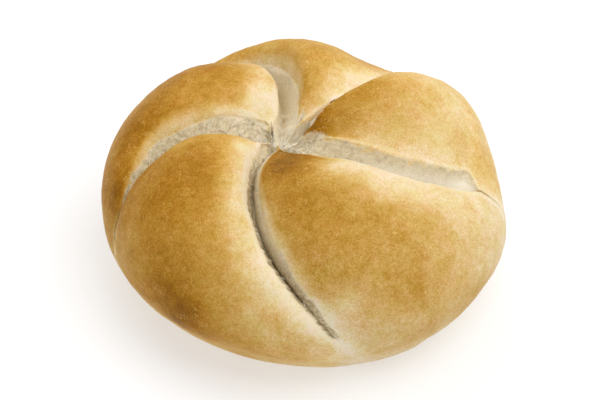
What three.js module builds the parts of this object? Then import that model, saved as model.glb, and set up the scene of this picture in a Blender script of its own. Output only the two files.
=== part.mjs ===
// A Kaiser-style bread roll: one low round bun whose top is cut into five lobes.
// The cuts leave a hub near the middle and swirl out to the rim, and each lobe swells
// between two cuts like a small pillow. Millimetres, +Z up, underside flat on z = 0.
//
// A point of the skin is named by two numbers. "ring" runs down the bun: 0 at the hub,
// 1 on the widest ring, 2 on the edge of the flat underside. "across" runs over one
// lobe from 0, the bottom of the cut before it, to 1, the bottom of the cut after it.

import * as THREE from "three";

// ---- driving dimensions: the bun that carries the lobes ----
const HALF_LENGTH = 51.7;          // plan half-size along the long axis
const HALF_DEPTH_BACK = 48.4;      // across it, on the far side
const HALF_DEPTH_FRONT = 44.9;     // across it, on the near side
const LONG_AXIS_AZIMUTH = -29;     // degrees from +X
const DOME_TOP = 41.5;             // height of the dome under the lobes
const EQUATOR = 16.5;              // height of the widest ring
const FOOT_SHARE = 0.78;           // the flat underside, as a share of the plan
const DOME_POWER = 2.3;            // 2 is an ellipse, more is boxier
const SIDE_POWER = 2.1;

// ---- the hub, where the cuts meet ----
const HUB_X = -4.9;
const HUB_Y = 3.9;
const HUB_DIP = 4.5;               // how far the dome sinks there
const HUB_DIP_REACH = 0.42;        // as a share of the plan
const HUB_PIT = 3.0;               // how far the lobes' tips sink into the torn hole there
const HUB_FLOOR = 3.6;             // depth of the hole below the dome

// ---- the cuts, counter-clockwise from the right ----
// azimuth at the hub and sweep to the rim in degrees; bend shapes the swirl; hook turns it
// back past its end, in degrees for each ring; depth is below the dome; end is the ring
// where the cut closes, taper the share of that where it starts to narrow, shut the ring
// where the last of its groove is gone, and heal how far the dough rises past its end.
// Low and high are the sides of smaller and of larger azimuth: the wall's width in plan,
// the power of its rise from the bottom (under 1 is steep at first), how far that lobe
// laps over the cut, and the level of its edge above the dome.
const CUTS = [
  { azimuth: -40, sweep: 42, bend: 0.8, hook: 38, depth: 7.5, end: 0.72, taper: 0.90, shut: 0.90, heal: 3.2,
    low: { wall: 1.0, rise: 0.8, lap: 0.0, edge: 0.0 },
    high: { wall: 6.8, rise: 1.2, lap: 0.0, edge: 0.0 } },
  { azimuth: 34, sweep: 10, bend: 1.0, hook: 0, depth: 3.4, end: 0.72, taper: 0.72, shut: 0.90, heal: 4.4,
    low: { wall: 0.5, rise: 0.8, lap: 0.8, edge: 3.6 },
    high: { wall: 1.0, rise: 0.8, lap: 0.0, edge: 2.8 } },
  { azimuth: 87, sweep: 61, bend: 1.6, hook: 0, depth: 7.5, end: 0.92, taper: 0.72, shut: 1.15, heal: 1.0,
    low: { wall: 5.2, rise: 0.8, lap: 0.0, edge: 0.0 },
    high: { wall: 0.8, rise: 0.8, lap: 1.5, edge: 0.0 } },
  { azimuth: 174, sweep: 24, bend: 0.7, hook: 0, depth: 7.5, end: 0.80, taper: 0.55, shut: 1.00, heal: 1.0,
    low: { wall: 8.0, rise: 0.9, lap: 0.0, edge: 0.0 },
    high: { wall: 0.8, rise: 0.8, lap: 1.0, edge: 0.0 } },
  { azimuth: 230, sweep: 53.5, bend: 0.85, hook: 0, depth: 4.6, end: 0.92, taper: 0.78, shut: 1.00, heal: 2.6,
    low: { wall: 1.3, rise: 0.8, lap: 0.2, edge: 0.0 },
    high: { wall: 2.4, rise: 0.45, lap: 0.0, edge: 0.0 } },
];

// ---- the lobes: lobe i lies between cut i and cut i + 1 ----
// lift is the pillow's height; skew moves its crest to the high side; tip is how far from
// the hub its crust begins, in millimetres; the lift grows from ring "from" and fades
// between the rings fadeFrom and fadeTo.
const LOBES = [
  { lift: 8.6, skew: 2.20, tip: 10.5, from: 0.03, fadeFrom: 0.38, fadeTo: 1.06 },    // right
  { lift: 7.0, skew: 2.80, tip: 10.5, from: 0.03, fadeFrom: 0.45, fadeTo: 1.10 },    // back
  { lift: 6.6, skew: 1.20, tip: 6.5, from: 0.03, fadeFrom: 0.25, fadeTo: 1.00 },    // upper left
  { lift: 7.0, skew: 0.95, tip: 3.0, from: -0.05, fadeFrom: 0.35, fadeTo: 1.40 },   // left
  { lift: 7.0, skew: 0.95, tip: 2.0, from: -0.05, fadeFrom: 0.50, fadeTo: 1.12 },   // front
];
const LIFT_GROWS_OVER = 0.38;      // rings over which a lobe gains its full lift
const PILLOW_POWER = 2.4;          // squareness of the lobe's cross-section
const PILLOW_EDGE = 1.55;          // steepness where it meets the cuts
const CLOSED_EDGE = 1.25;          // the power of its rise past a cut's end, where lobes run together
const EDGE_DECAY = 1.5;            // how fast an edge's own level fades into the lobe
const EDGE_FADE_FROM = 0.7;        // rings over which the edges' own levels fade
const EDGE_FADE_TO = 1.1;
const LAP_REACH = 6;               // how far back from the edge a lap pulls the crust
const THINNEST_WALL = 0.4;
const HUB_WALL = 2.6;              // the least width of every wall at the hub
const HUB_WALL_FROM = 3;           // radii between which that lessens to nothing
const HUB_WALL_TO = 14;
const WIDEST_WALLS = 0.86;         // the most of a lobe's width that its two walls may take
const RELAX_FROM = 0.95;           // past these rings the cuts' columns spread out evenly
const RELAX_TO = 1.7;

// ---- how finely the skin is faceted ----
const WALL_SHARE = 0.13;           // share of "across" on each of a lobe's two cut walls
const WALL_COLUMNS = 2;
const CRUST_COLUMNS = 11;
const TOP_ROWS = 28;
const SIDE_ROWS = 7;
const HUB_CROWDING = 1.25;         // above 1, the rows crowd together towards the hub

const CRUST_COLOR = 0xc28a3e;
const CRUST_ROUGHNESS = 0.6;

const radians = THREE.MathUtils.degToRad;
const clamp = THREE.MathUtils.clamp;
const smooth = (x, from, to) => THREE.MathUtils.smoothstep(x, from, to);

// Plan share and height of the bare bun on a ring.
function bunProfile(ring) {
  const top = Math.min(ring, 1) * Math.PI / 2;
  const side = clamp(ring - 1, 0, 1) * Math.PI / 2;
  if (ring <= 1) {
    const rise = Math.max(Math.cos(top), 0) ** (2 / DOME_POWER);
    return { share: Math.sin(top) ** (2 / DOME_POWER), height: EQUATOR + (DOME_TOP - EQUATOR) * rise };
  }
  const tuck = Math.max(Math.cos(side), 0) ** (2 / SIDE_POWER);
  const drop = Math.sin(side) ** (2 / SIDE_POWER);
  return { share: FOOT_SHARE + (1 - FOOT_SHARE) * tuck, height: EQUATOR * (1 - drop) };
}

// The bun's outward direction on a ring, in its own radial section.
function bunNormal(ring) {
  const step = 0.001;
  const before = bunProfile(Math.max(ring - step, 0));
  const after = bunProfile(Math.min(ring + step, 2));
  const along = (after.share - before.share) * HALF_LENGTH;
  const up = after.height - before.height;
  const length = Math.hypot(along, up);
  return { out: -up / length, up: along / length };
}

// Plan radius of the widest ring: two half-ellipses that share the long axis.
function planRadius(azimuth) {
  const angle = azimuth - radians(LONG_AXIS_AZIMUTH);
  const depth = Math.sin(angle) > 0 ? HALF_DEPTH_BACK : HALF_DEPTH_FRONT;
  return 1 / Math.hypot(Math.cos(angle) / HALF_LENGTH, Math.sin(angle) / depth);
}

// Where a cut runs on a ring: its azimuth, how open its walls are, its depth and its heal,
// and how far its two lobes have run together.
function cutAt(cut, ring) {
  const t = clamp(ring, 0, 1);
  const past = Math.max(t - cut.end, 0);
  const depth = THREE.MathUtils.lerp(HUB_FLOOR, cut.depth, smooth(ring, 0, 0.25));
  const closing = 1 - smooth(ring, 0.65 * cut.end, cut.shut);
  return {
    azimuth: radians(cut.azimuth + cut.sweep * t ** cut.bend - cut.hook * past),
    opening: 1 - smooth(ring, cut.taper * cut.end, cut.end),
    depth: depth * closing,
    heal: cut.heal * smooth(ring, 0.8 * cut.end, cut.shut) * (1 - smooth(ring, 1, 1.45)),
    closed: smooth(ring, 0.9 * cut.end, cut.shut),
  };
}

// Height above the bare bun and distance over the lobe, for one place across it.
function lobeSection(index, ring, across, radius) {
  const lobe = LOBES[index];
  const first = CUTS[index];
  const last = CUTS[(index + 1) % CUTS.length];
  const start = cutAt(first, ring);
  const end = cutAt(last, ring);
  const turn = index === CUTS.length - 1 ? 2 * Math.PI : 0;
  const span = (end.azimuth + turn - start.azimuth) * radius;

  // widths of the two cut walls
  const hubWall = HUB_WALL * (1 - smooth(radius, HUB_WALL_FROM, HUB_WALL_TO));
  const leastWall = Math.max(hubWall, THINNEST_WALL);
  let startWall = Math.max(first.high.wall * start.opening, leastWall);
  let endWall = Math.max(last.low.wall * end.opening, leastWall);
  const fit = Math.min(1, WIDEST_WALLS * span / (startWall + endWall));
  const relax = smooth(ring, RELAX_FROM, RELAX_TO);
  startWall = THREE.MathUtils.lerp(startWall * fit, WALL_SHARE * span, relax);
  endWall = THREE.MathUtils.lerp(endWall * fit, WALL_SHARE * span, relax);

  // levels of the lobe's edges and of the cuts' bottoms, and the lift between them
  const fade = 1 - smooth(ring, lobe.fadeFrom, lobe.fadeTo);
  const grown = smooth(ring, lobe.from, lobe.from + LIFT_GROWS_OVER) * fade;
  const edgeShare = smooth(ring, 0, 0.2) * (1 - smooth(ring, EDGE_FADE_FROM, EDGE_FADE_TO));
  const startEdge = first.high.edge * edgeShare + start.heal;
  const endEdge = last.low.edge * edgeShare + end.heal;
  const startBottom = start.heal - start.depth;
  const endBottom = end.heal - end.depth;
  const pit = HUB_PIT * (1 - smooth(radius, 0.4 * lobe.tip, lobe.tip));

  if (across < WALL_SHARE) {
    const up = (across / WALL_SHARE) ** first.high.rise;
    const height = THREE.MathUtils.lerp(startBottom, startEdge - pit, up);
    return { height, distance: startWall * across / WALL_SHARE, start };
  }
  if (across > 1 - WALL_SHARE) {
    const up = ((1 - across) / WALL_SHARE) ** last.low.rise;
    const height = THREE.MathUtils.lerp(endBottom, endEdge - pit, up);
    return { height, distance: span - endWall * (1 - across) / WALL_SHARE, start };
  }

  // the crust: a skewed pillow, whose rims may lap out over the cuts
  const p = (across - WALL_SHARE) / (1 - 2 * WALL_SHARE);
  const arch = 1 - Math.abs(1 - 2 * p ** lobe.skew) ** PILLOW_POWER;
  const closed = THREE.MathUtils.lerp(start.closed, end.closed, smooth(p, 0.2, 0.8));
  const pillow = Math.max(arch, 0) ** THREE.MathUtils.lerp(1 / PILLOW_EDGE, CLOSED_EDGE, closed);
  const edges = startEdge * (1 - p) ** EDGE_DECAY + endEdge * p ** EDGE_DECAY;
  const width = span - startWall - endWall;
  const hang = (gap) => Math.sin(Math.PI * clamp(gap / LAP_REACH, 0, 1) ** 0.6) ** 2;
  const lapSize = grown * Math.min(1, span / 25);
  const lapOverEnd = last.low.lap * end.opening * hang(width * (1 - p));
  const lapOverStart = first.high.lap * start.opening * hang(width * p);
  return {
    height: lobe.lift * grown * pillow + edges - pit,
    distance: startWall + width * p + (lapOverEnd - lapOverStart) * lapSize,
    start,
  };
}

// The skin's point on a ring, across lobe number index.
function skinPoint(index, ring, across) {
  const { share, height: bunHeight } = bunProfile(ring);
  const radius = Math.max(share * HALF_LENGTH, 1e-6);
  const { height, distance, start } = lobeSection(index, ring, across, radius);
  const normal = bunNormal(ring);
  const azimuth = start.azimuth + distance / radius;
  const reach = share * planRadius(azimuth) + height * normal.out;
  const towardsHub = ring < 1 ? 1 - share ** 1.3 : 0;
  const dip = ring < 1 ? HUB_DIP * (1 - smooth(share, 0, HUB_DIP_REACH)) : 0;
  return new THREE.Vector3(
    HUB_X * towardsHub + reach * Math.cos(azimuth),
    HUB_Y * towardsHub + reach * Math.sin(azimuth),
    bunHeight + height * normal.up - dip,
  );
}

// The places across one lobe, from the bottom of its first cut up to its last.
function acrossSteps() {
  const steps = [];
  for (let i = 0; i < WALL_COLUMNS; i++) steps.push(WALL_SHARE * i / WALL_COLUMNS);
  for (let i = 0; i <= CRUST_COLUMNS; i++) {
    steps.push(WALL_SHARE + (1 - 2 * WALL_SHARE) * i / CRUST_COLUMNS);
  }
  for (let i = 1; i < WALL_COLUMNS; i++) steps.push(1 - WALL_SHARE + WALL_SHARE * i / WALL_COLUMNS);
  return steps;
}

// The rings from just outside the hub down to the edge of the underside.
function ringSteps() {
  const rings = [];
  for (let i = 1; i <= TOP_ROWS; i++) rings.push((i / TOP_ROWS) ** HUB_CROWDING);
  for (let i = 1; i <= SIDE_ROWS; i++) rings.push(1 + i / SIDE_ROWS);
  return rings;
}

// The closed skin: rings of quads, closed by a fan at the hub and one under the bun.
function rollGeometry() {
  const points = [];
  const steps = acrossSteps();
  const rings = ringSteps();
  for (const ring of rings) {
    for (let index = 0; index < LOBES.length; index++) {
      for (const across of steps) points.push(skinPoint(index, ring, across));
    }
  }
  const columns = LOBES.length * steps.length;
  const hub = points.push(new THREE.Vector3(HUB_X, HUB_Y, DOME_TOP - HUB_DIP - HUB_FLOOR)) - 1;
  const foot = points.push(new THREE.Vector3(0, 0, 0)) - 1;

  const faces = [];
  const lastRow = (rings.length - 1) * columns;
  for (let column = 0; column < columns; column++) {
    const next = (column + 1) % columns;
    faces.push(hub, column, next);
    for (let row = 0; row < lastRow; row += columns) {
      faces.push(row + column, row + columns + column, row + columns + next);
      faces.push(row + column, row + columns + next, row + next);
    }
    faces.push(foot, lastRow + next, lastRow + column);
  }
  const geometry = new THREE.BufferGeometry().setFromPoints(points);
  geometry.setIndex(faces);
  return geometry;
}

// The origin is put in the middle of the roll's box, on its underside.
function centreOnBase(geometry) {
  geometry.computeBoundingBox();
  const middle = geometry.boundingBox.getCenter(new THREE.Vector3());
  geometry.translate(-middle.x, -middle.y, -geometry.boundingBox.min.z);
  geometry.computeVertexNormals();
  return geometry;
}

const crust = new THREE.MeshStandardMaterial({
  color: CRUST_COLOR,
  roughness: CRUST_ROUGHNESS,
  metalness: 0,
});
const breadRoll = new THREE.Mesh(centreOnBase(rollGeometry()), crust);
breadRoll.name = "bread_roll";

const roll = new THREE.Group();
roll.add(breadRoll);

export default roll;
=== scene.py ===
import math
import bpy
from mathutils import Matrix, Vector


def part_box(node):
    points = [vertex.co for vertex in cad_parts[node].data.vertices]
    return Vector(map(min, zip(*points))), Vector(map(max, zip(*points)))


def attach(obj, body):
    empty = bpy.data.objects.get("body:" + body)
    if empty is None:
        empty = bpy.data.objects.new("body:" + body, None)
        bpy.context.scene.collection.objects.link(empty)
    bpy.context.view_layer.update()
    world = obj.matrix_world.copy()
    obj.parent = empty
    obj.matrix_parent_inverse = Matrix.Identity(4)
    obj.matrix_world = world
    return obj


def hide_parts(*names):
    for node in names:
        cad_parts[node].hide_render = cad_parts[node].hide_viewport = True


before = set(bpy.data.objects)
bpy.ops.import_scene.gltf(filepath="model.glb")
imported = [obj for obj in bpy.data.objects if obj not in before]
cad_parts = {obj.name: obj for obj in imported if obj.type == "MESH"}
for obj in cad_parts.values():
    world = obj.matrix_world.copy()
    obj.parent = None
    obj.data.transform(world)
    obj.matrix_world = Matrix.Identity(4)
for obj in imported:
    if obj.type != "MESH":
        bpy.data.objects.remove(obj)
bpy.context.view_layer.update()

# A Kaiser-style bread roll. The CAD solid gives its form; here the same form is made
# again with a fine skin: browned crust, torn crumb in the cuts, and the crumb's strands.
# The form is worked out in millimetres, as the solid is, and then fitted to its box.

from types import SimpleNamespace

import bpy
import numpy as np
from mathutils import Vector

MM = 0.001

# ---- the bun that carries the lobes, as in the solid ----
HALF_LENGTH = 51.7
HALF_DEPTH_BACK = 48.4
HALF_DEPTH_FRONT = 44.9
LONG_AXIS_AZIMUTH = math.radians(-29)
DOME_TOP = 41.5
EQUATOR = 16.5
FOOT_SHARE = 0.78
DOME_POWER = 2.3
SIDE_POWER = 2.1
HUB_X, HUB_Y = -4.9, 3.9
HUB_DIP = 4.5
HUB_DIP_REACH = 0.42
HUB_PIT = 3.0
HUB_FLOOR = 3.6

# ---- the cuts, counter-clockwise from the right ----
# wall, rise, lap and edge are as in the solid, and low and high are the cut's two sides. For the
# looks, torn is how rough the crumb of that wall is, and soft the share of the wall's height
# over which crumb turns to crust. pale is how far, in millimetres, the crust beside the cut
# stayed pale, near the hub and far out; it goes over from the one to the other between the
# two rings of grow, or of PALE_GROWS. smooth_and_lit is how smooth and pale the lower part of the
# wall is; the paleness is partly painted light on crumb that lies in the cut's shade. crack_shade
# gives the rings between which the wall turns dark and pitted, up to the cut's end, the dark
# being partly painted shade of the narrow crack; jag how jagged its edge is there, and beyond how
# far, in millimetres, torn crumb goes on past that edge. wall_shade is a share of the same
# darkness all along the wall, painted shade of the deep cut wall.
CUTS = [
    dict(azimuth=-40, sweep=42, bend=0.8, hook=38, depth=7.5, end=0.72, taper=0.90, shut=0.90, heal=3.2,
         low=dict(wall=1.0, rise=0.8, lap=0.0, edge=0.0, torn=0.5, soft=0.3, smooth_and_lit=0.75,
                  pale=(0.4, 19.0), grow=(0.06, 0.45)),
         high=dict(wall=6.8, rise=1.2, lap=0.0, edge=0.0, torn=0.65, soft=0.2, smooth_and_lit=0.75, wall_shade=0.15,
                   pale=(0.3, 7.0))),
    dict(azimuth=34, sweep=10, bend=1.0, hook=0, depth=3.4, end=0.72, taper=0.72, shut=0.90, heal=4.4,
         low=dict(wall=0.5, rise=0.8, lap=0.8, edge=3.6, torn=0.2, soft=0.9, pale=(0.3, 2.0)),
         high=dict(wall=1.0, rise=0.8, lap=0.0, edge=2.8, torn=0.2, soft=0.9, pale=(11.0, 12.0))),
    dict(azimuth=87, sweep=61, bend=1.6, hook=0, depth=7.5, end=0.92, taper=0.72, shut=1.15, heal=1.0,
         low=dict(wall=5.2, rise=0.8, lap=0.0, edge=0.0, torn=0.25, soft=0.35, wall_shade=0.30, pale=(1.5, 0.8)),
         high=dict(wall=0.8, rise=0.8, lap=1.5, edge=0.0, torn=0.2, soft=0.8, pale=(11.0, 5.0))),
    dict(azimuth=174, sweep=24, bend=0.7, hook=0, depth=7.5, end=0.80, taper=0.55, shut=1.00, heal=1.0,
         low=dict(wall=8.0, rise=0.9, lap=0.0, edge=0.0, torn=0.9, soft=0.12, wall_shade=0.42,
                  pale=(4.0, 0.6), grow=(0.35, 0.62)),
         high=dict(wall=0.8, rise=0.8, lap=1.0, edge=0.0, torn=0.5, soft=0.3, pale=(0.3, 1.5))),
    dict(azimuth=230, sweep=53.5, bend=0.85, hook=0, depth=4.6, end=0.92, taper=0.78, shut=1.00, heal=2.6,
         low=dict(wall=1.3, rise=0.8, lap=0.2, edge=0.0, torn=1.0, soft=0.2,
                  crack_shade=(0.10, 0.22), jag=0.30, pale=(9.0, 11.5)),
         high=dict(wall=2.4, rise=0.45, lap=0.0, edge=0.0, torn=0.35, soft=0.2, crack_shade=(0.36, 0.74), jag=0.30,
                   pale=(0.8, 5.5), grow=(0.15, 0.70), beyond=1.8)),
]

# ---- the lobes: lobe i lies between cut i and cut i + 1 ----
# tone is how much browner the lobe is baked than the others, and dark how much browner
# still near its tip, over dark_reach millimetres. warm is its hue: orange above 0, olive
# below.
LOBES = [
    dict(lift=8.6, skew=2.20, tip=10.5, start=0.03, fade_from=0.38, fade_to=1.06,
         tone=-0.07, dark=0.34, dark_reach=15, warm=0.5),
    dict(lift=7.0, skew=2.80, tip=10.5, start=0.03, fade_from=0.45, fade_to=1.10,
         tone=-0.08, dark=0.10, dark_reach=20, warm=0.6),
    dict(lift=6.6, skew=1.20, tip=6.5, start=0.03, fade_from=0.25, fade_to=1.00,
         tone=0.03, dark=-0.15, dark_reach=10, warm=0.6),
    dict(lift=7.0, skew=0.95, tip=3.0, start=-0.05, fade_from=0.35, fade_to=1.40,
         tone=0.03, dark=-0.12, dark_reach=7, warm=0.7),
    dict(lift=7.0, skew=0.95, tip=2.0, start=-0.05, fade_from=0.50, fade_to=1.12,
         tone=0.0, dark=0.38, dark_reach=17, warm=-0.2),
]
# ---- spots of browner or paler crust, partly the oven's browning and partly painted light and shade: x, y, z, reach and change ----
BAKE_AND_LIGHT_SPOTS = [
    (-45, -7, 29, 8, 0.32),
    (18, 38, 32, 8, 0.28),
    (13, 27, 40, 8, -0.26),
    (2, 16, 42, 5, 0.12),
    (-1, 22, 43, 6, 0.16),
    (-9, 41, 38, 12, -0.07),
    (4, 7, 42, 5, 0.26),
    (-4, -13, 44, 6, 0.15),
    (22, -48, 14, 12, -0.16),
    (24, -43, 30, 8, 0.10),
    (8, -37, 40, 12, -0.08),
    (33, -39, 28, 9, 0.16),
    (-14, -31, 39, 9, -0.16),
    (-15, -43, 29, 12, -0.20),
    (-30, -40, 16, 10, 0.26),
    (47, 3, 29, 9, 0.12),
    (-12, -5, 42, 5, -0.25),
    (9, -14, 45, 6, -0.36),
    (19, -16, 43, 9, -0.11),
    (10, -47, 27, 7, -0.22),
    (-9, -47, 26, 8, -0.14),
    (0, -50, 20, 8, -0.14),
    (-9, 18, 42, 4.5, -0.22),
    (-11, 11, 42, 4.5, -0.22),
    (-43, 8, 37, 8, 0.18),
    (-27, -42, 25, 9, 0.14),
    (21, 12, 48, 6, 0.14),
]
PALE_GROWS = (0.06, 0.65)
NEVER = (9.0, 10.0)        # rings that no cut reaches

LIFT_GROWS_OVER = 0.38
PILLOW_POWER = 2.4
PILLOW_EDGE = 1.55
CLOSED_EDGE = 1.25         # the same past a cut's end, where lobes run together
EDGE_DECAY = 1.5
EDGE_FADE_FROM, EDGE_FADE_TO = 0.7, 1.1
LAP_REACH = 6.0
THINNEST_WALL = 0.4
HUB_WALL = 2.6             # the least width of every wall at the hub
HUB_WALL_FROM, HUB_WALL_TO = 3, 14
WIDEST_WALLS = 0.86        # the most of a lobe's width that its two walls may take
RELAX_FROM, RELAX_TO = 0.95, 1.7
WALL_SHARE = 0.13

# ---- how fine the skin is ----
TOP_ROWS = 158
SIDE_ROWS = 34
BASE_ROWS = 6
HUB_CROWDING = 1.2
CRUST_COLUMNS = 66
WALL_STEP = 0.30           # millimetres between the columns of a cut wall
FEWEST_WALL_COLUMNS = 5

# ---- the skin's relief, in millimetres ----
SWELL = 0.45               # slow unevenness of the dough
SWELL_SIZE = 15.0
WRINKLE = 0.10             # fine unevenness of the crust
WRINKLE_SIZE = 2.2
TEAR = 0.36                # relief of torn crumb
TEAR_SIZE = 0.9
HUB_TEAR = 0.7             # relief of the torn hub, as a further share
PORE_DEPTH = 0.30
PORE_SIZE = 0.7
LIP = 0.14                 # crust curling up along a cut
LIP_WIDTH = 0.6
UNEVEN = 0.10              # unevenness of a cut's width, as a share of it
JAG_REACH = 0.7            # how far into the crust the jagged edge of a cracked wall is felt

# ---- the crumb and the crust's browning ----
CRUMB_FULL_RING = 0.02     # the ring from which a lobe's first wall is crumb
FRESH_HUB = 0.8            # how smooth and pale the crumb of the hub is
HUB_REACH = 8.0            # how far from the hub, in millimetres, its torn crumb is felt
PALE_SHARE, FLOURY_SHARE = 0.78, 0.22
BAKE_LEVEL = 0.60
BAKE_OF_CREST = 0.14       # how much browner a lobe's crest is
PALER_RIGHT = 0.28         # how much paler the right of the roll is, up from the base; partly browning, partly painted light on the lit side
# how much browner the left of the roll is; partly browning, partly painted shade on the shaded side
BROWNER_LEFT = 0.05
PALER_FOOT = 0.22
PALE_BAKE = 0.10           # how brown the pale flanks are, where not floury
LOWER_WARMTH = 0.6         # how much less orange the lower flanks are

# ---- the crumb's strands, and curls of crust along the torn edges, in millimetres ----
STRANDS = 480
STRAND_REACH = 13.0        # how far from the hub they thin out
STRAND_LENGTH = (1.0, 3.2)
STRAND_RADIUS = (0.06, 0.12)
CURLS = 260
CURL_LENGTH = (0.7, 1.8)
CURL_RADIUS = (0.06, 0.12)
THREAD_STEPS = 6
THREAD_SIDES = 5

# ---- the view and the light, in metres ----
CAMERA_ELEVATION = math.radians(43.0)
CAMERA_DISTANCE = 0.60
CAMERA_LENS = 139.5
CAMERA_TARGET = (-0.0006, -0.0010, 0.0209)
KEY_PLACE, KEY_WATTS = (0.34, -0.06, 0.75), 4.15
BACK_PLACE, BACK_WATTS = (-0.30, 0.60, 0.70), 2.5
LIGHT_SIZE = 0.7
LIGHT_TARGET = (0, 0, 0.02)
WORLD_STRENGTH = 0.58
FLOOR_HALF = 2.0
FLOOR_DROP = 0.0002        # how far the floor lies below the roll's base


# ------------------------------------------------------------------ small tools

def smooth(x, start, end):
    t = np.clip((x - start) / (end - start), 0.0, 1.0)
    return t * t * (3.0 - 2.0 * t)


def mix(a, b, t):
    return a + (b - a) * t


def lattice_noise(points, size, seed):
    """Smooth noise from 0 to 1 at 3-D points; size is the distance between its humps."""
    count = 32
    lattice = np.random.default_rng(seed).random((count, count, count))
    place = np.asarray(points) / size + 1000.0
    cell = np.floor(place).astype(int)
    t = place - cell
    t = t * t * t * (t * (6.0 * t - 15.0) + 10.0)
    total = 0.0
    for dx in (0, 1):
        for dy in (0, 1):
            for dz in (0, 1):
                weight = (
                    (t[..., 0] if dx else 1 - t[..., 0])
                    * (t[..., 1] if dy else 1 - t[..., 1])
                    * (t[..., 2] if dz else 1 - t[..., 2])
                )
                value = lattice[(cell[..., 0] + dx) % count, (cell[..., 1] + dy) % count,
                                (cell[..., 2] + dz) % count]
                total = total + weight * value
    return total


def cloud(points, size, seed, octaves=3):
    """Layered noise around 0, about -1 to 1."""
    total, weight, layers = 0.0, 1.0, 0.0
    for octave in range(octaves):
        total = total + weight * (lattice_noise(points, size / 2.1 ** octave, seed + octave) - 0.5)
        layers += weight
        weight *= 0.55
    return total / layers * 2.6


def along_cut(ring, seed, size=0.11, octaves=1):
    """Noise around 0 that changes only along a cut."""
    line = np.stack([ring / size, np.full_like(ring, seed * 3.7), np.zeros_like(ring)], -1)
    return cloud(line, 1.0, seed, octaves)


# ------------------------------------------------------------------ the roll's form

def bun_profile(ring):
    top = np.clip(ring, 0, 1) * np.pi / 2
    side = np.clip(ring - 1, 0, 1) * np.pi / 2
    dome_share = np.sin(top) ** (2 / DOME_POWER)
    dome_height = EQUATOR + (DOME_TOP - EQUATOR) * np.abs(np.cos(top)) ** (2 / DOME_POWER)
    tuck = np.abs(np.cos(side)) ** (2 / SIDE_POWER)
    side_share = FOOT_SHARE + (1 - FOOT_SHARE) * tuck
    side_height = EQUATOR * (1 - np.sin(side) ** (2 / SIDE_POWER))
    base_share = FOOT_SHARE * np.clip(3 - ring, 0, 1)
    share = np.where(ring <= 1, dome_share, np.where(ring <= 2, side_share, base_share))
    height = np.where(ring <= 1, dome_height, np.where(ring <= 2, side_height, 0.0))
    return share, height


def bun_normal(ring):
    step = 0.001
    share_before, height_before = bun_profile(np.maximum(ring - step, 0))
    share_after, height_after = bun_profile(ring + step)
    along = (share_after - share_before) * HALF_LENGTH
    up = height_after - height_before
    length = np.hypot(along, up) + 1e-12
    return -up / length, along / length


def plan_radius(azimuth):
    angle = azimuth - LONG_AXIS_AZIMUTH
    depth = np.where(np.sin(angle) > 0, HALF_DEPTH_BACK, HALF_DEPTH_FRONT)
    return 1 / np.hypot(np.cos(angle) / HALF_LENGTH, np.sin(angle) / depth)


def cut_at(cut, ring):
    """A cut's azimuth, how open it is, its depth, its heal and how closed, on each ring."""
    t = np.clip(ring, 0, 1)
    end = cut["end"]
    past = np.maximum(t - end, 0)
    azimuth = np.radians(cut["azimuth"] + cut["sweep"] * t ** cut["bend"] - cut["hook"] * past)
    opening = 1 - smooth(ring, cut["taper"] * end, end)
    depth = mix(HUB_FLOOR, cut["depth"], smooth(ring, 0, 0.25))
    depth = depth * (1 - smooth(ring, 0.65 * end, cut["shut"]))
    heal = cut["heal"] * smooth(ring, 0.8 * end, cut["shut"]) * (1 - smooth(ring, 1, 1.45))
    closed = smooth(ring, 0.9 * end, cut["shut"])
    return azimuth, opening, depth, heal, closed


def lobe_columns(index):
    """The places across one lobe: fine on a wide cut wall, and few on a narrow one."""
    def wall_count(side):
        return max(FEWEST_WALL_COLUMNS, int(round(side["wall"] / WALL_STEP)))
    first = wall_count(CUTS[index]["high"])
    last = wall_count(CUTS[(index + 1) % len(CUTS)]["low"])
    return np.concatenate([
        np.linspace(0, WALL_SHARE, first, endpoint=False),
        np.linspace(WALL_SHARE, 1 - WALL_SHARE, CRUST_COLUMNS, endpoint=False),
        np.linspace(1 - WALL_SHARE, 1, last, endpoint=False),
    ])


def wall_width(side, opening, ring, seed):
    """A cut wall's width, a little uneven along the cut."""
    return side["wall"] * (1 + UNEVEN * along_cut(ring, seed)) * opening


def hang(gap):
    """How far a lapping rim hangs over its cut, from 0 to 1; gap is how far in from the rim."""
    return np.sin(np.pi * np.clip(gap / LAP_REACH, 0, 1) ** 0.6) ** 2


def jag_of(side, ring, gap, up, seed):
    """The sideways shift of a cracked wall's jagged edge, and of the crust just beyond it."""
    size = side.get("jag", 0.0) * smooth(ring, *side.get("crack_shade", NEVER)) * (ring < 1)
    return size * along_cut(ring, seed, 0.014) * up * np.exp(-np.maximum(gap, 0) / JAG_REACH)


def place_points(ring, azimuth, share, bun_height, height):
    """Points over the bun at the given azimuths and heights above its surface."""
    out, up = bun_normal(ring)
    reach = share * plan_radius(azimuth) + height * out
    towards_hub = np.where(ring < 1, 1 - share ** 1.3, 0.0)
    dip = np.where(ring < 1, HUB_DIP * (1 - smooth(share, 0, HUB_DIP_REACH)), 0.0)
    return np.stack([
        HUB_X * towards_hub + reach * np.cos(azimuth),
        HUB_Y * towards_hub + reach * np.sin(azimuth),
        bun_height + height * up - dip,
    ], -1)


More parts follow.
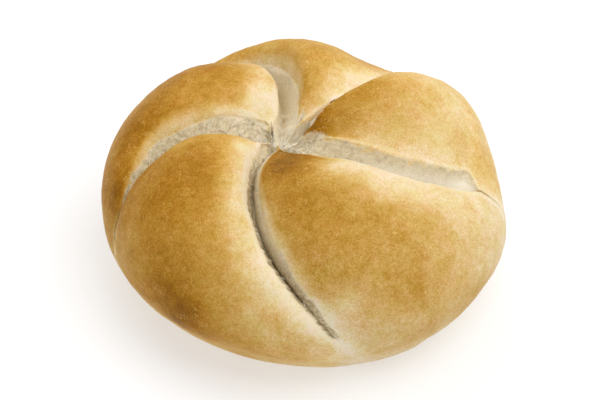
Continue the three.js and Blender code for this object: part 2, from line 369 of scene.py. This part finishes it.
def lobe_skin(index, rings):
    """One lobe's points, row by ring and column by place across, and what they are."""
    lobe = LOBES[index]
    following = (index + 1) % len(CUTS)
    low_side, high_side = CUTS[index]["high"], CUTS[following]["low"]
    ring = rings[:, None]
    across = lobe_columns(index)[None, :]
    share, bun_height = bun_profile(ring)
    radius = np.maximum(share * HALF_LENGTH, 1e-6)

    start, start_open, start_depth, start_heal, start_closed = cut_at(CUTS[index], ring)
    end, end_open, end_depth, end_heal, end_closed = cut_at(CUTS[following], ring)
    if following == 0:
        end = end + 2 * np.pi
    span = (end - start) * radius

    # the widths of the cut walls
    hub_wall = HUB_WALL * (1 - smooth(radius, HUB_WALL_FROM, HUB_WALL_TO))
    least_wall = np.maximum(hub_wall, THINNEST_WALL)
    start_wall = np.maximum(wall_width(low_side, start_open, ring, 11 + index), least_wall)
    end_wall = np.maximum(wall_width(high_side, end_open, ring, 31 + index), least_wall)
    fit = np.minimum(1, WIDEST_WALLS * span / (start_wall + end_wall))
    relax = smooth(ring, RELAX_FROM, RELAX_TO)
    start_wall = mix(start_wall * fit, WALL_SHARE * span, relax)
    end_wall = mix(end_wall * fit, WALL_SHARE * span, relax)

    fade = 1 - smooth(ring, lobe["fade_from"], lobe["fade_to"])
    grown = smooth(ring, lobe["start"], lobe["start"] + LIFT_GROWS_OVER) * fade
    edge_share = smooth(ring, 0, 0.2) * (1 - smooth(ring, EDGE_FADE_FROM, EDGE_FADE_TO))
    start_edge = low_side["edge"] * edge_share + start_heal
    end_edge = high_side["edge"] * edge_share + end_heal
    tip = lobe["tip"] * (1 + 0.25 * np.sin(9.0 * across + 2.0 * index))
    pit = HUB_PIT * (1 - smooth(radius, 0.4 * tip, tip))

    # the crust, whose rims may lap out over the cuts
    p = np.clip((across - WALL_SHARE) / (1 - 2 * WALL_SHARE), 0, 1)
    arch = 1 - np.abs(1 - 2 * p ** lobe["skew"]) ** PILLOW_POWER
    closed = mix(start_closed, end_closed, smooth(p, 0.2, 0.8))
    pillow = np.maximum(arch, 0) ** mix(1 / PILLOW_EDGE, CLOSED_EDGE, closed)
    edges = start_edge * (1 - p) ** EDGE_DECAY + end_edge * p ** EDGE_DECAY
    crust_height = lobe["lift"] * grown * pillow + edges - pit
    width = span - start_wall - end_wall
    lap = high_side["lap"] * end_open * hang(width * (1 - p))
    lap = lap - low_side["lap"] * start_open * hang(width * p)
    crust_distance = start_wall + width * p + lap * grown * np.minimum(1, span / 25)

    # the two cut walls
    up_start = np.clip(across / WALL_SHARE, 0, 1)
    up_end = np.clip((1 - across) / WALL_SHARE, 0, 1)
    start_height = mix(start_heal - start_depth, start_edge - pit, up_start ** low_side["rise"])
    end_height = mix(end_heal - end_depth, end_edge - pit, up_end ** high_side["rise"])
    on_start, on_end = across < WALL_SHARE, across > 1 - WALL_SHARE
    height = np.where(on_start, start_height, np.where(on_end, end_height, crust_height))
    distance = np.where(on_start, start_wall * up_start,
                        np.where(on_end, span - end_wall * up_end, crust_distance))
    height = np.where(ring >= 2, 0.0, height)
    distance = (distance + jag_of(low_side, ring, distance - start_wall, up_start, 71)
                - jag_of(high_side, ring, span - end_wall - distance, up_end, 72))
    points = place_points(ring, start + distance / radius, share, bun_height, height)

    # how far each point of the crust is from each cut, which is 0 all over both walls
    whole = np.ones_like(points[..., 0])
    from_start = np.where(on_start | on_end, 0, width * p) * whole
    from_end = np.where(on_start | on_end, 0, width * (1 - p)) * whole
    grid = SimpleNamespace(
        ring=ring, across=across, radius=radius, bun_height=bun_height, tip=tip, whole=whole,
        crest=np.clip(pillow, 0, 1) * grown, on_start=on_start, on_end=on_end,
        up_start=up_start, up_end=up_end, from_start=from_start, from_end=from_end,
        start_open=start_open, end_open=end_open, rough=cloud(points, 1.6, 81, 3),
    )
    return points, lobe_fields(index, grid)


def crumb_on(side, opening, up, rough):
    """How much of an open wall is crumb, at a height of up on it."""
    return smooth(opening, 0.02, 0.2) * (1 - smooth(up + 0.18 * rough, 1 - side["soft"], 1.05))


def pale_beside(side, ring, distance):
    """How pale the crust is, at a distance from that side's cut."""
    reach = mix(side["pale"][0], side["pale"][1], smooth(ring, *side.get("grow", PALE_GROWS)))
    floury = (1 - smooth(distance, 0.6, 2.6)) * smooth(reach, 3, 8)
    return PALE_SHARE * (1 - smooth(distance, 0.1 * reach, 1.2 * reach)) + FLOURY_SHARE * floury


def cracked(side, cut, ring, distance, rough):
    """How dark and pitted a side is, on its wall and as far beyond as its torn crumb goes; the dark is
    partly painted shade of the crack.
    """
    begun = smooth(ring, *side.get("crack_shade", NEVER))
    along = begun * (1 - smooth(ring, 1.01 * cut["end"], 1.05 * cut["end"]))
    reach = side.get("beyond", 0.0) + 1e-6
    return along * (1 - smooth(distance + 0.5 * reach * rough, 0.5 * reach, reach))


# Smooth, pale crumb low on a cut wall; the paleness is partly painted light on crumb in the cut's shade.
def smooth_and_lit_on(side, ring, up):
    return side.get("smooth_and_lit", 0.0) * (1 - smooth(up, 0.55, 0.95)) * smooth(ring, 0.14, 0.36)


def lobe_fields(index, grid):
    """What each point of a lobe is: torn crumb or crust, how pale, dark or cracked, how smooth and pale its
    crumb is, and the painted light and shade on the cut walls.
    """
    lobe = LOBES[index]
    following = (index + 1) % len(CUTS)
    low_side, high_side = CUTS[index]["high"], CUTS[following]["low"]
    ring, radius, rough, whole = grid.ring, grid.radius, grid.rough, grid.whole
    on_start, on_end = grid.on_start, grid.on_end

    def on_walls(start_values, end_values):
        return np.where(on_end, end_values, np.where(on_start, start_values, 0.0))

    crumb = on_walls(crumb_on(low_side, grid.start_open, grid.up_start, rough),
                     crumb_on(high_side, grid.end_open, grid.up_end, rough)) * (ring < 1)
    crumb = np.where(on_start, crumb * smooth(ring, 0.0, CRUMB_FULL_RING), crumb)
    bare_tip = 1 - smooth(radius + 1.3 * rough, 0.7 * grid.tip, 1.1 * grid.tip)
    crumb = np.maximum(crumb, bare_tip)
    torn = np.where(grid.across < 0.5, low_side["torn"], high_side["torn"]) * whole

    pale = np.maximum(pale_beside(low_side, ring, grid.from_start),
                      pale_beside(high_side, ring, grid.from_end))
    pale = pale * (1 - 0.75 * smooth(ring, 0.85, 1.4))
    dark = (lobe["tone"] + lobe["dark"] * np.exp(-(radius / lobe["dark_reach"]) ** 2)) * whole
    warm = (lobe["warm"] - LOWER_WARMTH * (1 - smooth(grid.bun_height, 12, 32))) * (1 - 0.8 * pale)

    crack_shade = np.maximum(cracked(low_side, CUTS[index], ring, grid.from_start, rough),
                       cracked(high_side, CUTS[following], ring, grid.from_end, rough))
    crumb = np.maximum(crumb, 0.9 * crack_shade)
    # painted shade: the crumb of the deep cut walls is darkened all along
    wall_shade = on_walls(low_side.get("wall_shade", 0.0), high_side.get("wall_shade", 0.0))
    crack_shade = np.maximum(crack_shade, wall_shade * smooth(ring, 0.05, 0.30))

    smooth_and_lit = on_walls(smooth_and_lit_on(low_side, ring, grid.up_start), smooth_and_lit_on(high_side, ring, grid.up_end))
    torn = torn * (1 - 0.8 * smooth_and_lit)
    smooth_and_lit = np.maximum(smooth_and_lit, FRESH_HUB * np.exp(-(radius / HUB_REACH) ** 2) * (1 - torn))
    lip = np.exp(-(grid.from_start / LIP_WIDTH) ** 2) * grid.start_open
    lip = np.maximum(lip, np.exp(-(grid.from_end / LIP_WIDTH) ** 2) * grid.end_open)
    lip = np.where(on_start | on_end | (ring > 1), 0.0, lip)
    return dict(crumb=crumb * whole, torn=torn, pale=pale, dark=dark, lip=lip * whole,
                crest=grid.crest * whole, radius=radius * whole, crack_shade=crack_shade * whole,
                smooth_and_lit=smooth_and_lit * whole, warm=warm)


def ring_steps():
    top = (np.arange(1, TOP_ROWS + 1) / TOP_ROWS) ** HUB_CROWDING
    side = 1 + np.arange(1, SIDE_ROWS + 1) / SIDE_ROWS
    base = 2 + np.arange(1, BASE_ROWS) / BASE_ROWS
    return np.concatenate([top, side, base])


def whole_skin():
    """The whole roll's grid of points, with the fields of all its lobes."""
    rings = ring_steps()
    lobes = [lobe_skin(index, rings) for index in range(len(LOBES))]
    points = np.concatenate([points for points, _ in lobes], axis=1)
    fields = {name: np.concatenate([fields[name] for _, fields in lobes], axis=1)
              for name in lobes[0][1]}
    return points, fields


def grid_normals(points):
    down = np.gradient(points, axis=0)
    round_about = (np.roll(points, -1, axis=1) - np.roll(points, 1, axis=1)) / 2
    normal = np.cross(down, round_about)
    return normal / (np.linalg.norm(normal, axis=-1, keepdims=True) + 1e-12)


def add_relief(points, fields):
    """Moves the skin along its normals: swells, wrinkles, torn crumb, pores and lips."""
    normal = grid_normals(points)
    above_base = smooth(points[..., 2], 0.2, 5.0)
    crumb = fields["crumb"]
    swell = SWELL * cloud(points, SWELL_SIZE, 3, 2)
    wrinkle = WRINKLE * cloud(points, WRINKLE_SIZE, 7, 3) * (1 - crumb)
    fibre = cloud(points * np.array([1.0, 1.0, 0.5]), TEAR_SIZE, 13, 3)
    pores = mix(lattice_noise(points, PORE_SIZE, 23), lattice_noise(points, 0.5 * PORE_SIZE, 24), 0.4)
    pit = smooth(0.42 - pores, 0.0, 0.2)
    # painted shade in the crumb's pits: the colour darkens where the relief is pushed in
    fields["pore_shade"] = crumb * fields["torn"] * np.clip(pit - 0.4 * fibre, 0, 1)
    near_hub = np.exp(-(fields["radius"] / HUB_REACH) ** 2)
    lumps = HUB_TEAR * near_hub * cloud(points, 2.4, 17, 3)
    torn = np.maximum(fields["torn"], near_hub)
    crumb_relief = (TEAR * fibre - PORE_DEPTH * pit + lumps) * crumb * torn
    curl = LIP * fields["lip"] * np.clip(0.6 + cloud(points, 1.2, 41, 2), 0, 1.6)
    move = (swell + wrinkle) * above_base + crumb_relief + curl
    return points + normal * move[..., None]


def bake_and_light_map(points, fields):
    """How brown the crust is, from 0 pale to 1 dark, with painted light and shade: paler to the right,
    browner to the left and in some spots.
    """
    x, height = points[..., 0], points[..., 2]
    bake_and_light = BAKE_LEVEL + BAKE_OF_CREST * (fields["crest"] - 0.6) + fields["dark"]
    # partly painted light and shade: paler towards the right, browner towards the left
    bake_and_light = bake_and_light - PALER_RIGHT * smooth(x, 2.0, 46.0) * smooth(height, 2.0, 30.0)
    bake_and_light = bake_and_light + BROWNER_LEFT * smooth(-x, 8.0, 40.0)
    bake_and_light = bake_and_light - PALER_FOOT * (1 - smooth(height, 3.0, 15.0))
    bake_and_light = bake_and_light + 0.11 * cloud(points, 15.0, 51, 2) + 0.06 * cloud(points, 5.0, 55, 3)
    patchy = np.clip(0.92 + 0.30 * cloud(points, 6.0, 61, 3), 0, 1.1)
    pale_bake = PALE_BAKE * (1 - smooth(fields["pale"], 0.75, 1.0)) + 0.08 * cloud(points, 4.0, 63, 2)
    bake_and_light = mix(bake_and_light, pale_bake, np.clip(fields["pale"] * patchy, 0, 1))
    # partly painted light and shade: each spot browns or pales the crust around it
    for x, y, z, reach, change in BAKE_AND_LIGHT_SPOTS:
        distance = np.linalg.norm(points - np.array([x, y, z]), axis=-1)
        bake_and_light = bake_and_light + change * np.exp(-(distance / reach) ** 2)
    return np.clip(bake_and_light, 0, 1)


# ------------------------------------------------------------------ meshes

def fit_to_frame(points):
    """Millimetres of the form to metres of the frame, lined up with the solid's box."""
    low, high = (np.array(corner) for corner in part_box("bread_roll"))
    lowest, highest = points.reshape(-1, 3).min(0), points.reshape(-1, 3).max(0)
    middle = (lowest + highest) / 2
    target = (low + high) / 2
    scale = (high - low) / (highest - lowest)
    return scale, target - middle * scale


def skin_faces(rows, columns):
    """Quads between the rings, and a fan at the hub and one under the roll."""
    row = np.arange(rows - 1)[:, None] * columns
    column = np.arange(columns)[None, :]
    following = (column + 1) % columns
    quads = np.stack([row + column, row + columns + column, row + columns + following,
                      row + following], -1).reshape(-1, 4)
    hub, foot = rows * columns, rows * columns + 1
    ends = []
    last = (rows - 1) * columns
    for column in range(columns):
        following = (column + 1) % columns
        ends.append((hub, column, following))
        ends.append((foot, last + following, last + column))
    return quads.tolist() + ends


def new_object(name, points, faces, material):
    mesh = bpy.data.meshes.new(name)
    mesh.from_pydata(points.tolist(), [], faces)
    mesh.validate()
    mesh.update()
    mesh.shade_smooth()
    mesh.materials.append(material)
    piece = bpy.data.objects.new(name, mesh)
    bpy.context.scene.collection.objects.link(piece)
    return piece


def set_field(piece, name, values):
    attribute = piece.data.attributes.new(name, "FLOAT", "POINT")
    attribute.data.foreach_set("value", np.asarray(values, dtype=np.float32))


def make_roll(material):
    points, fields = whole_skin()
    points = add_relief(points, fields)
    bake_and_light = bake_and_light_map(points, fields)
    rows, columns = points.shape[:2]
    hub = points[0].mean(0) - np.array([0, 0, 0.6])
    foot = np.array([0.0, 0.0, 0.0])
    every = np.concatenate([points.reshape(-1, 3), [hub], [foot]])
    scale, shift = fit_to_frame(every)
    roll = new_object("roll_skin", every * scale + shift, skin_faces(rows, columns), material)
    set_field(roll, "bake_and_light", np.append(bake_and_light.reshape(-1), [0.1, 0.5]))
    set_field(roll, "crumb", np.append(fields["crumb"].reshape(-1), [1.0, 0.0]))
    for name in ("pore_shade", "torn", "crack_shade", "smooth_and_lit", "warm"):
        set_field(roll, name, np.append(fields[name].reshape(-1), [0.5, 0.0]))
    return roll, (points, fields, scale, shift)


def thread_ends(points, normal, weight, count, lengths, rng):
    """Pairs of nearby skin points to join, more of them where the weight is high."""
    rows, columns = weight.shape
    chances = (weight / weight.sum()).reshape(-1)
    starts, ends, ups = [], [], []
    while len(starts) < count:
        row, column = divmod(rng.choice(rows * columns, p=chances), columns)
        other_row = min(max(row + rng.integers(-7, 8), 0), rows - 1)
        other = other_row, (column + rng.integers(-12, 13)) % columns
        length = np.linalg.norm(points[other] - points[row, column])
        if lengths[0] < length < lengths[1] and weight[other] > 0.1:
            starts.append(points[row, column])
            ends.append(points[other])
            ups.append(normal[row, column])
    return np.array(starts), np.array(ends), np.array(ups)


def thread_mesh(starts, ends, ups, radii, rise, sink, rng):
    """Thin tapered tubes that arch from each start to its end."""
    count = len(starts)
    chord = ends - starts
    length = np.linalg.norm(chord, axis=1)[:, None]
    sideways = np.cross(chord / length, ups)
    lift = rng.uniform(rise[0], rise[1], (count, 1)) * length
    sway = rng.uniform(-0.3, 0.3, (count, 1)) * length
    width = rng.uniform(radii[0], radii[1], (count, 1))
    rounds = []
    for step in range(THREAD_STEPS + 1):
        t = step / THREAD_STEPS
        arch = 4 * t * (1 - t)
        centre = starts + chord * t + ups * (lift * arch - sink) + sideways * sway * arch * (1 - t)
        radius = width * (0.35 + 0.65 * math.sqrt(arch))
        for side in range(THREAD_SIDES):
            turn = 2 * math.pi * side / THREAD_SIDES
            rounds.append(centre + radius * (ups * math.cos(turn) + sideways * math.sin(turn)))
    points = np.stack(rounds, 1).reshape(-1, 3)
    faces = []
    each = (THREAD_STEPS + 1) * THREAD_SIDES
    for thread in range(count):
        first = thread * each
        for step in range(THREAD_STEPS):
            for side in range(THREAD_SIDES):
                following = (side + 1) % THREAD_SIDES
                low, high = first + step * THREAD_SIDES, first + (step + 1) * THREAD_SIDES
                faces.append((low + side, low + following, high + following, high + side))
        faces.append(tuple(first + side for side in reversed(range(THREAD_SIDES))))
        faces.append(tuple(first + each - THREAD_SIDES + side for side in range(THREAD_SIDES)))
    return points, faces


def make_threads(name, material, skin, weight, count, lengths, radii, rise, seed, crumb, bake_and_light):
    points, fields, scale, shift = skin
    rng = np.random.default_rng(seed)
    ends = thread_ends(points, grid_normals(points), weight, count, lengths, rng)
    places, faces = thread_mesh(*ends, radii, rise, 0.08, rng)
    threads = new_object(name, places * scale + shift, faces, material)
    each = (THREAD_STEPS + 1) * THREAD_SIDES
    set_field(threads, "bake_and_light", np.repeat(bake_and_light + rng.uniform(-0.1, 0.1, count), each))
    set_field(threads, "crumb", np.full(len(places), crumb))
    set_field(threads, "torn", np.full(len(places), 0.3))
    set_field(threads, "smooth_and_lit", np.full(len(places), 0.7))
    for unused in ("pore_shade", "crack_shade", "warm"):
        set_field(threads, unused, np.zeros(len(places)))
    return threads


def make_strands(material, skin):
    """Fibres of torn crumb, most of them around the hub."""
    fields = skin[1]
    near = np.exp(-(fields["radius"] / STRAND_REACH) ** 2)
    weight = (fields["crumb"] > 0.6) * (0.15 + near) * np.maximum(fields["torn"], 0.3)
    weight = weight * (fields["radius"] > 0.8)
    return make_threads("crumb_strands", material, skin, weight, STRANDS, STRAND_LENGTH, STRAND_RADIUS,
                        (0.05, 0.28), 301, 1.0, 0.1)


def make_curls(material, skin):
    """Small pale curls of crust along the torn edges of the cuts."""
    fields = skin[1]
    weight = np.clip(fields["lip"] - 0.15, 0, 1) * np.clip(fields["torn"] - 0.3, 0, 1)
    return make_threads("crust_curls", material, skin, weight, CURLS, CURL_LENGTH, CURL_RADIUS,
                        (0.0, 0.15), 302, 0.0, 0.14)


# ------------------------------------------------------------------ materials

def linear(red, green, blue):
    """An sRGB colour, 0 to 255, as the linear colour that shaders take."""
    def channel(value):
        value = value / 255
        return value / 12.92 if value <= 0.04045 else ((value + 0.055) / 1.055) ** 2.4
    return channel(red), channel(green), channel(blue), 1.0


class Nodes:
    """A short way to write a node tree."""

    def __init__(self, name):
        self.material = bpy.data.materials.new(name)
        self.material.use_nodes = True
        self.tree = self.material.node_tree
        self.tree.nodes.clear()

    def add(self, kind, settings=None, **inputs):
        node = self.tree.nodes.new(kind)
        for name, value in (settings or {}).items():
            setattr(node, name, value)
        for name, value in inputs.items():
            socket = node.inputs[int(name[1:]) if name[0] == "_" and name[1:].isdigit()
                                 else name.replace("_", " ")]
            if isinstance(value, bpy.types.NodeSocket):
                self.tree.links.new(value, socket)
            else:
                socket.default_value = value
        return node

    def field(self, name):
        return self.add("ShaderNodeAttribute", {"attribute_name": name}).outputs["Fac"]

    def math(self, operation, first, second=0.0):
        return self.add("ShaderNodeMath", {"operation": operation}, _0=first, _1=second).outputs[0]

    def noise(self, place, size, detail=3.0, roughness=0.6):
        node = self.add("ShaderNodeTexNoise", Vector=place, Scale=1 / (size * MM), Detail=detail,
                        Roughness=roughness)
        return node.outputs["Fac"]

    def blend(self, share, first, second, kind="MIX"):
        node = self.add("ShaderNodeMix", {"data_type": "RGBA", "blend_type": kind},
                        _0=share, _6=first, _7=second)
        return node.outputs[2]

    def ramp(self, value, stops):
        node = self.add("ShaderNodeValToRGB", Fac=value)
        elements = node.color_ramp.elements
        while len(elements) < len(stops):
            elements.new(0.5)
        for element, (position, colour) in zip(elements, stops):
            element.position = position
            element.color = colour
        return node.outputs["Color"]

    def spread(self, value, low, high, to_low=0.0, to_high=1.0):
        node = self.add("ShaderNodeMapRange", {"clamp": True}, Value=value, From_Min=low,
                        From_Max=high, To_Min=to_low, To_Max=to_high)
        return node.outputs["Result"]


def crust_colour(n, place):
    """The crust colour from its browning and painted light and shade, with mottling, hair-like light lines,
    dark specks and shifts of hue.
    """
    bake_and_light = n.field("bake_and_light")
    mottle = n.math("SUBTRACT", n.noise(place, 3.0, 6.0, 0.62), 0.5)
    grain = n.math("SUBTRACT", n.noise(place, 0.40, 3.0, 0.7), 0.5)
    coarse = n.math("SUBTRACT", n.noise(place, 1.1, 2.0, 0.5), 0.5)
    level = n.math("ADD", bake_and_light, n.math("MULTIPLY", mottle, 0.34))
    level = n.math("ADD", level, n.math("MULTIPLY", grain, 0.70))
    level = n.math("ADD", level, n.math("MULTIPLY", coarse, 0.22))
    crust = n.ramp(level, [
        (0.00, linear(232, 218, 190)),
        (0.20, linear(224, 199, 146)),
        (0.40, linear(208, 169, 98)),
        (0.60, linear(187, 141, 56)),
        (0.80, linear(162, 110, 18)),
        (1.00, linear(126, 82, 10)),
    ])
    hue = n.ramp(n.noise(place, 4.5, 3.0, 0.5), [
        (0.36, (0.98, 1.00, 0.92, 1)),
        (0.50, (1.00, 1.00, 1.00, 1)),
        (0.64, (1.02, 0.985, 1.05, 1)),
    ])
    crust = n.blend(1.0, crust, hue, "MULTIPLY")
    warmth = n.ramp(n.spread(n.field("warm"), -1.0, 1.0), [
        (0.0, (0.96, 1.02, 1.25, 1)),
        (0.5, (1.00, 1.00, 1.00, 1)),
        (1.0, (1.03, 0.98, 0.80, 1)),
    ])
    crust = n.blend(1.0, crust, warmth, "MULTIPLY")
    return with_specks(n, place, with_hair_lines(n, place, bake_and_light, crust))


def with_hair_lines(n, place, bake_and_light, crust):
    """Light hair-like lines, which run along the middle level of a twisted noise."""
    twisted = n.add("ShaderNodeTexNoise", Vector=place, Scale=1 / (1.7 * MM), Detail=2.0,
                    Roughness=0.5, Distortion=1.2).outputs["Fac"]
    off_line = n.math("ABSOLUTE", n.math("SUBTRACT", twisted, 0.5))
    line = n.spread(off_line, 0.0, 0.022, 1.0, 0.0)
    patches = n.spread(n.noise(place, 3.4, 2.0), 0.48, 0.62)
    browned = n.spread(bake_and_light, 0.25, 0.6, 0.25, 1.0)
    lines = n.math("MULTIPLY", n.math("MULTIPLY", line, patches), browned)
    return n.blend(n.math("MULTIPLY", lines, 0.5), crust, linear(244, 206, 128))


def with_specks(n, place, crust):
    """Small dark specks, in patches."""
    cells = n.add("ShaderNodeTexVoronoi", Vector=place, Scale=1 / (1.25 * MM), Randomness=1.0)
    speck = n.spread(cells.outputs["Distance"], 0.07, 0.16, 1.0, 0.0)
    chosen = n.spread(n.noise(place, 2.6, 1.0), 0.50, 0.60)
    return n.blend(n.math("MULTIPLY", n.math("MULTIPLY", speck, chosen), 0.5), crust,
                   linear(120, 76, 16))


def crumb_colour(n, place):
    """Pale grey-beige crumb with painted shade in its pores; dark and speckled in a crack and down the deep
    walls, partly painted shade; near-white, painted light, on the smooth lower walls.
    """
    web = n.math("SUBTRACT", n.noise(place, 0.6, 5.0, 0.8), 0.47)
    web = n.math("MULTIPLY", web, n.spread(n.field("torn"), 0.2, 0.9, 0.45, 1.0))
    web = n.math("ADD", web, 0.47)
    crumb = n.ramp(web, [
        (0.25, linear(192, 172, 130)),
        (0.47, linear(224, 208, 172)),
        (0.66, linear(242, 232, 206)),
    ])
    crumb = n.blend(n.spread(n.noise(place, 5.0), 0.4, 0.65, 0.0, 0.3), crumb, linear(226, 208, 176))
    # painted light: near-white crumb on the smooth lower walls, which lie in the cut's shade
    crumb = n.blend(n.field("smooth_and_lit"), crumb, linear(252, 245, 228))
    # painted shade in the pores
    crumb = n.blend(n.math("MULTIPLY", n.field("pore_shade"), 0.45), crumb, linear(142, 120, 78))
    speckle = n.spread(n.noise(place, 0.55, 3.0, 0.7), 0.38, 0.58, 1.0, 0.25)
    # partly painted shade: the crumb of the crack and of the deep walls is darkened in speckles
    return n.blend(n.math("MULTIPLY", n.field("crack_shade"), speckle), crumb, linear(168, 147, 106))


def roll_material():
    """Browned crust and torn crumb in one material, told apart by the crumb field."""
    n = Nodes("baked_dough")
    place = n.add("ShaderNodeTexCoord").outputs["Object"]
    crumb = n.field("crumb")

    # the crumb's edge is ragged
    ragged = n.math("SUBTRACT", n.noise(place, 0.7, 4.0, 0.7), 0.5)
    edge = n.math("ADD", crumb, n.math("MULTIPLY", ragged, 0.8))
    share = n.math("MULTIPLY", n.spread(edge, 0.2, 0.62), n.spread(crumb, 0.02, 0.2))
    colour = n.blend(share, crust_colour(n, place), crumb_colour(n, place))

    # relief finer than the mesh
    skin = n.math("ADD", n.math("MULTIPLY", n.noise(place, 0.5, 3.0, 0.6), 0.35),
                  n.math("MULTIPLY", n.noise(place, 1.6, 2.0, 0.5), 0.5))
    holes = n.math("MULTIPLY", n.noise(place, 0.45, 4.0, 0.8), 2.2)
    height = n.add("ShaderNodeMix", {"data_type": "FLOAT"}, _0=share, _2=skin, _3=holes).outputs[0]
    bump = n.add("ShaderNodeBump", Strength=0.5, Distance=0.25 * MM, Height=height)
    roughness = n.spread(share, 0.0, 1.0, 0.50, 0.95)
    shader = n.add("ShaderNodeBsdfPrincipled", Base_Color=colour, Roughness=roughness,
                   Normal=bump.outputs["Normal"])
    shader.inputs["Specular IOR Level"].default_value = 0.08
    shader.inputs["Subsurface Weight"].default_value = 0.12
    shader.inputs["Subsurface Radius"].default_value = (1.0, 0.55, 0.25)
    shader.inputs["Subsurface Scale"].default_value = 1.2 * MM
    n.add("ShaderNodeOutputMaterial", Surface=shader.outputs["BSDF"])
    return n.material


def floor_material():
    n = Nodes("pale_floor")
    shader = n.add("ShaderNodeBsdfPrincipled", Base_Color=(0.5, 0.5, 0.5, 1), Roughness=0.9)
    shader.inputs["Emission Color"].default_value = (1, 1, 1, 1)
    shader.inputs["Emission Strength"].default_value = 0.5
    n.add("ShaderNodeOutputMaterial", Surface=shader.outputs["BSDF"])
    return n.material


# ------------------------------------------------------------------ stage

def add_floor():
    half = FLOOR_HALF
    corners = np.array([[-half, -half, 0], [half, -half, 0], [half, half, 0], [-half, half, 0]])
    floor = new_object("floor", corners - np.array([0, 0, FLOOR_DROP]), [(0, 1, 2, 3)], floor_material())


def add_light(name, place, size, watts):
    light = bpy.data.lights.new(name, "AREA")
    light.energy = watts
    light.size = size
    lamp = bpy.data.objects.new(name, light)
    bpy.context.scene.collection.objects.link(lamp)
    lamp.location = place
    lamp.rotation_euler = (Vector(LIGHT_TARGET) - lamp.location).to_track_quat("-Z", "Y").to_euler()


def add_lights():
    add_light("key", KEY_PLACE, LIGHT_SIZE, KEY_WATTS)
    add_light("back", BACK_PLACE, LIGHT_SIZE, BACK_WATTS)
    world = bpy.data.worlds.new("studio")
    bpy.context.scene.world = world
    world.use_nodes = True
    background = world.node_tree.nodes["Background"]
    background.inputs["Color"].default_value = (1, 1, 1, 1)
    background.inputs["Strength"].default_value = WORLD_STRENGTH
    bpy.context.scene.view_settings.view_transform = "Standard"


def add_camera():
    camera = bpy.data.cameras.new("camera")
    camera.lens = CAMERA_LENS
    camera.clip_start = 0.01
    viewer = bpy.data.objects.new("camera", camera)
    bpy.context.scene.collection.objects.link(viewer)
    back = math.cos(CAMERA_ELEVATION) * CAMERA_DISTANCE
    up = math.sin(CAMERA_ELEVATION) * CAMERA_DISTANCE
    target = Vector(CAMERA_TARGET)
    viewer.location = target + Vector((0, -back, up))
    viewer.rotation_euler = (target - viewer.location).to_track_quat("-Z", "Y").to_euler()
    bpy.context.scene.camera = viewer


# ------------------------------------------------------------------ the scene

dough = roll_material()
roll, skin = make_roll(dough)
for piece in (roll, make_strands(dough, skin), make_curls(dough, skin)):
    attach(piece, "root")
    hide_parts("bread_roll")
add_floor()
add_lights()
add_camera()
